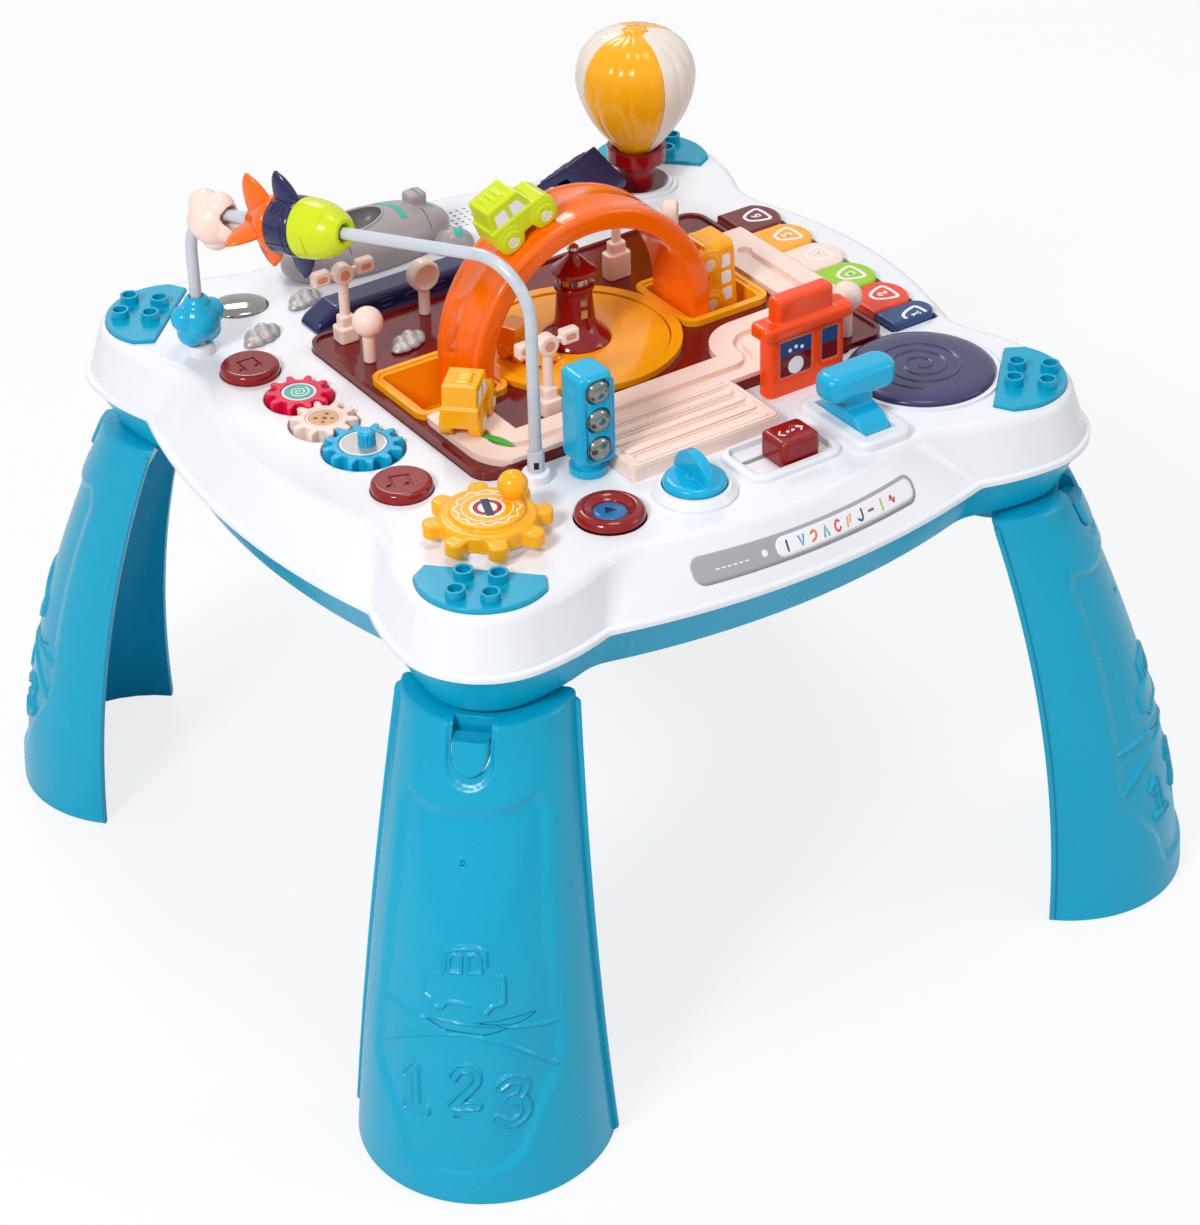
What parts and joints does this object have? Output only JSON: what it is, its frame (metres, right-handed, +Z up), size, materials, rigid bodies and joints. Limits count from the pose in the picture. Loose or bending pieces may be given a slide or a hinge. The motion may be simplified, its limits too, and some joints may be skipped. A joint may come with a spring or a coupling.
{
  "type": "musical activity table",
  "caption": "Four-legged play table with a bead wire, gears, keys, buttons, an arch with cars, a turntable, storage bins and studded corner plates.",
  "frame": {"origin": "on the floor under the middle of the deck", "axes": "+Z up; -Y towards the long front edge with the dial and slider; +X towards the side with the keys"},
  "size_m": [0.4864, 0.4864, 0.4004],
  "materials": {
    "white_plastic": "gloss",
    "teal_plastic": "gloss",
    "cyan_plastic": "gloss",
    "maroon_plastic": "gloss",
    "orange_plastic": "gloss",
    "amber_plastic": "gloss",
    "yellow_plastic": "gloss",
    "cream_plastic": "gloss",
    "navy_plastic": "gloss",
    "lime_plastic": "gloss",
    "grey_plastic": "gloss",
    "pink_plastic": "gloss",
    "red_plastic": "gloss",
    "wire_coating": "satin",
    "chromed_lens": "satin",
    "silver_insert": "satin",
    "screw_steel": "satin",
    "cell_metal": "satin",
    "card_green": "satin",
    "speaker_black": "satin"
  },
  "bodies": {
    "table": {"top_shell": "white_plastic", "bottom_shell": "teal_plastic", "battery_door": "teal_plastic", "battery_cells": "cell_metal", "case_screws": "screw_steel", "circuit_board": "card_green", "speaker": "speaker_black", "leg_front_left": "teal_plastic", "leg_front_right": "teal_plastic", "leg_back_right": "teal_plastic", "leg_back_left": "teal_plastic", "corner_plates": "teal_plastic", "centre_board": "maroon_plastic", "road_track": "cream_plastic", "bin_tray": "amber_plastic", "arch_bridge": "orange_plastic", "wire_loop": "wire_coating", "station": "orange_plastic", "submarine": "grey_plastic", "tile_roof": "navy_plastic", "mirror_inserts": "silver_insert", "street_posts": "cream_plastic"},
    "latch_front_left": {"latch_front_left": "teal_plastic"},
    "latch_front_right": {"latch_front_right": "teal_plastic"},
    "latch_back_right": {"latch_back_right": "teal_plastic"},
    "latch_back_left": {"latch_back_left": "teal_plastic"},
    "note_button_front": {"note_button_front": "maroon_plastic"},
    "note_button_back": {"note_button_back": "maroon_plastic"},
    "start_button": {"start_button": "red_plastic"},
    "key_6": {"key_6": "maroon_plastic"},
    "key_5": {"key_5": "amber_plastic"},
    "key_4": {"key_4": "cream_plastic"},
    "key_3": {"key_3": "lime_plastic"},
    "key_2": {"key_2": "red_plastic"},
    "key_1": {"key_1": "navy_plastic"},
    "gear_blue": {"gear_blue": "cyan_plastic"},
    "gear_cream": {"gear_cream": "cream_plastic"},
    "gear_pink": {"gear_pink": "pink_plastic"},
    "crank_wheel": {"crank_wheel": "yellow_plastic"},
    "dial_knob": {"dial_knob": "cyan_plastic"},
    "slider_block": {"slider_block": "maroon_plastic"},
    "throttle_lever": {"throttle_lever": "cyan_plastic"},
    "record_disc": {"record_disc": "navy_plastic"},
    "traffic_light": {"traffic_light": "cyan_plastic", "traffic_lenses": "chromed_lens"},
    "turntable": {"turntable": "amber_plastic", "lighthouse": "maroon_plastic", "turntable_car": "orange_plastic"},
    "green_car": {"green_car": "lime_plastic"},
    "bus": {"bus": "amber_plastic"},
    "car_guide_pin": {"car_guide_pin": "yellow_plastic"},
    "yellow_car": {"yellow_car": "yellow_plastic"},
    "rocket_body": {"rocket_body": "navy_plastic"},
    "rocket_nose": {"rocket_nose": "lime_plastic"},
    "rocket_tail": {"rocket_tail": "orange_plastic"},
    "cloud_bead": {"cloud_bead": "cream_plastic"},
    "blue_bead": {"blue_bead": "cyan_plastic"},
    "balloon_stick": {"balloon": "yellow_plastic", "balloon_basket": "maroon_plastic"},
    "train": {"train": "navy_plastic"}
  },
  "joints": [
    {"name": "latch_front_left_press", "type": "slide", "parent": "table", "child": "latch_front_left", "axis": [0.7071, 0.7071, 0], "range_m": [0, 0.002], "stiffness_N_per_m": 300},
    {"name": "latch_front_right_press", "type": "slide", "parent": "table", "child": "latch_front_right", "axis": [-0.7071, 0.7071, 0], "range_m": [0, 0.002], "stiffness_N_per_m": 300},
    {"name": "latch_back_right_press", "type": "slide", "parent": "table", "child": "latch_back_right", "axis": [-0.7071, -0.7071, 0], "range_m": [0, 0.002], "stiffness_N_per_m": 300},
    {"name": "latch_back_left_press", "type": "slide", "parent": "table", "child": "latch_back_left", "axis": [0.7071, -0.7071, 0], "range_m": [0, 0.002], "stiffness_N_per_m": 300},
    {"name": "note_button_front_press", "type": "slide", "parent": "table", "child": "note_button_front", "axis": [0, 0, -1], "range_m": [0, 0.003], "stiffness_N_per_m": 300},
    {"name": "note_button_back_press", "type": "slide", "parent": "table", "child": "note_button_back", "axis": [0, 0, -1], "range_m": [0, 0.003], "stiffness_N_per_m": 300},
    {"name": "start_button_press", "type": "slide", "parent": "table", "child": "start_button", "axis": [0, 0, -1], "range_m": [0, 0.003], "stiffness_N_per_m": 300},
    {"name": "key_6_press", "type": "slide", "parent": "table", "child": "key_6", "axis": [0, 0, -1], "range_m": [0, 0.003], "stiffness_N_per_m": 300},
    {"name": "key_5_press", "type": "slide", "parent": "table", "child": "key_5", "axis": [0, 0, -1], "range_m": [0, 0.003], "stiffness_N_per_m": 300},
    {"name": "key_4_press", "type": "slide", "parent": "table", "child": "key_4", "axis": [0, 0, -1], "range_m": [0, 0.003], "stiffness_N_per_m": 300},
    {"name": "key_3_press", "type": "slide", "parent": "table", "child": "key_3", "axis": [0, 0, -1], "range_m": [0, 0.003], "stiffness_N_per_m": 300},
    {"name": "key_2_press", "type": "slide", "parent": "table", "child": "key_2", "axis": [0, 0, -1], "range_m": [0, 0.003], "stiffness_N_per_m": 300},
    {"name": "key_1_press", "type": "slide", "parent": "table", "child": "key_1", "axis": [0, 0, -1], "range_m": [0, 0.003], "stiffness_N_per_m": 300},
    {"name": "gear_blue_spin", "type": "hinge", "parent": "table", "child": "gear_blue", "pos_m": [-0.1372, -0.02338, 0.282], "axis": [0, 0, 1], "continuous": true},
    {"name": "gear_cream_spin", "type": "hinge", "parent": "table", "child": "gear_cream", "pos_m": [-0.1402, 0.0086, 0.282], "axis": [0, 0, 1], "continuous": true},
    {"name": "gear_pink_spin", "type": "hinge", "parent": "table", "child": "gear_pink", "pos_m": [-0.1372, 0.03764, 0.282], "axis": [0, 0, 1], "continuous": true},
    {"name": "crank_wheel_spin", "type": "hinge", "parent": "table", "child": "crank_wheel", "pos_m": [-0.1307, -0.1235, 0.282], "axis": [0, 0, 1], "continuous": true},
    {"name": "dial_turn", "type": "hinge", "parent": "table", "child": "dial_knob", "pos_m": [-0.032, -0.1469, 0.282], "axis": [0, 0, 1], "range_deg": [-60, 60]},
    {"name": "slider_move", "type": "slide", "parent": "table", "child": "slider_block", "axis": [1, 0, 0], "range_m": [-0.0136, 0.0064]},
    {"name": "throttle_tilt", "type": "hinge", "parent": "table", "child": "throttle_lever", "pos_m": [0.066, -0.141, 0.273], "axis": [1, 0, 0], "range_deg": [-25, 25]},
    {"name": "record_spin", "type": "hinge", "parent": "table", "child": "record_disc", "pos_m": [0.1226, -0.1212, 0.282], "axis": [0, 0, 1], "continuous": true},
    {"name": "traffic_light_swivel", "type": "hinge", "parent": "table", "child": "traffic_light", "pos_m": [-0.0614, -0.1022, 0.282], "axis": [0, 0, 1], "continuous": true},
    {"name": "turntable_spin", "type": "hinge", "parent": "table", "child": "turntable", "pos_m": [0, 0, 0.282], "axis": [0, 0, 1], "continuous": true},
    {"name": "green_car_run", "type": "hinge", "parent": "table", "child": "green_car", "pos_m": [0, 0, 0.293], "axis": [0, 1, 0], "range_deg": [-35, 52]},
    {"name": "bus_run", "type": "hinge", "parent": "table", "child": "bus", "pos_m": [0, 0, 0.293], "axis": [0, 1, 0], "range_deg": [-25, 0]},
    {"name": "guide_pin_travel", "type": "slide", "parent": "table", "child": "car_guide_pin", "axis": [0, 1, 0], "range_m": [-0.015, 0]},
    {"name": "yellow_car_swivel", "type": "hinge", "parent": "car_guide_pin", "child": "yellow_car", "pos_m": [-0.0885, -0.04, 0.282], "axis": [0, 0, 1], "range_deg": [-60, 60]},
    {"name": "rocket_travel", "type": "slide", "parent": "table", "child": "rocket_body", "axis": [0.317, -0.9352, 0.1578], "range_m": [0, 0.045]},
    {"name": "rocket_nose_spin", "type": "hinge", "parent": "rocket_body", "child": "rocket_nose", "pos_m": [-0.12068, 0.0093, 0.37799], "axis": [-0.317, 0.9352, -0.1578], "continuous": true},
    {"name": "rocket_tail_spin", "type": "hinge", "parent": "rocket_body", "child": "rocket_tail", "pos_m": [-0.12068, 0.0093, 0.37799], "axis": [-0.317, 0.9352, -0.1578], "continuous": true},
    {"name": "cloud_bead_slide", "type": "hinge", "parent": "table", "child": "cloud_bead", "pos_m": [-0.14513, 0.08143, 0.33847], "axis": [0.9471, 0.321, 0], "range_deg": [-12, 4]},
    {"name": "blue_bead_lift", "type": "slide", "parent": "table", "child": "blue_bead", "axis": [0, 0, 1], "range_m": [0, 0.02]},
    {"name": "balloon_tilt", "type": "hinge", "parent": "table", "child": "balloon_stick", "pos_m": [0.128, 0.131, 0.268], "axis": [1, 0, 0], "range_deg": [-8, 8], "stiffness_Nm_per_rad": 0.6},
    {"name": "train_travel", "type": "slide", "parent": "table", "child": "train", "axis": [1, 0, 0], "range_m": [0, 0.025]}
  ],
  "couplings": [
    {"joint": "gear_cream_spin", "follows": "gear_blue_spin", "ratio": -1.2},
    {"joint": "gear_pink_spin", "follows": "gear_blue_spin", "ratio": 1.2}
  ]
}
